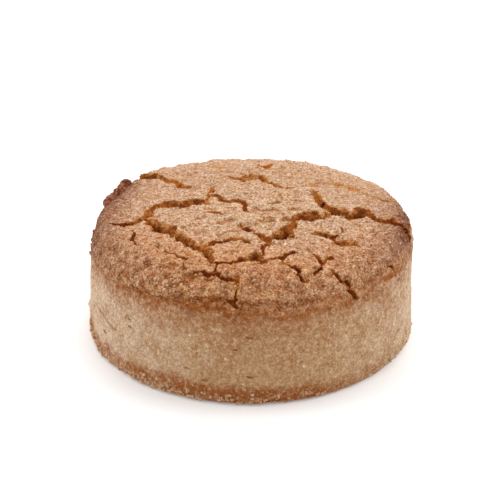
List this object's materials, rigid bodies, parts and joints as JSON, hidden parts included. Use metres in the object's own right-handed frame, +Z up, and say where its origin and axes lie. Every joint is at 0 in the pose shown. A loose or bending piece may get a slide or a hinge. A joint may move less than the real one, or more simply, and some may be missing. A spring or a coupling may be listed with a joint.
{
  "type": "shortbread biscuit",
  "caption": "Thick round shortbread biscuit with a domed, split and browned crust that rolls over its rim, a straight grainy wall and a flat base to rest on.",
  "frame": {"origin": "middle of the flat base's outline, on the surface it rests on", "axes": "+Z up through the crust, -Y towards the side where the crust is slumped and round and a split runs over the rim"},
  "size_m": [0.0704, 0.0702, 0.0277],
  "materials": {
    "baked_dough": "baked shortbread dough, matt and grainy, browned on the crust and paler on the wall"
  },
  "bodies": {
    "root": {"biscuit": "baked_dough"}
  },
  "joints": []
}
